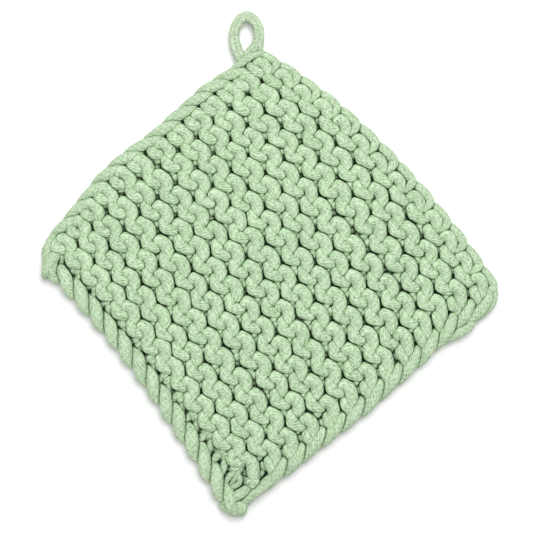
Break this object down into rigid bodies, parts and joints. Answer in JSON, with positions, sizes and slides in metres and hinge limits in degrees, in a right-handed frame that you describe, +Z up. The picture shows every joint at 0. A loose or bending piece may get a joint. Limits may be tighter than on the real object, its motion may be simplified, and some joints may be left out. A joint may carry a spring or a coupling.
{
  "type": "knitted pot holder",
  "caption": "Square hand-knitted pot holder of thick cotton cord in garter stitch, with a cord hanging loop at one corner.",
  "frame": {"origin": "middle of the whole pot holder's footprint, on the surface that it lies on", "axes": "+Z up out of the knitted face, +Y along the diagonal towards the hanging loop, +X to the right seen from above"},
  "size_m": [0.2632, 0.2916, 0.015],
  "materials": {
    "knitted_cord": "matt pale green cotton cord, knitted",
    "loop_cord": "matt pale green cotton cord"
  },
  "bodies": {
    "root": {"knitted_square": "knitted_cord", "hanging_loop": "loop_cord"}
  },
  "joints": []
}
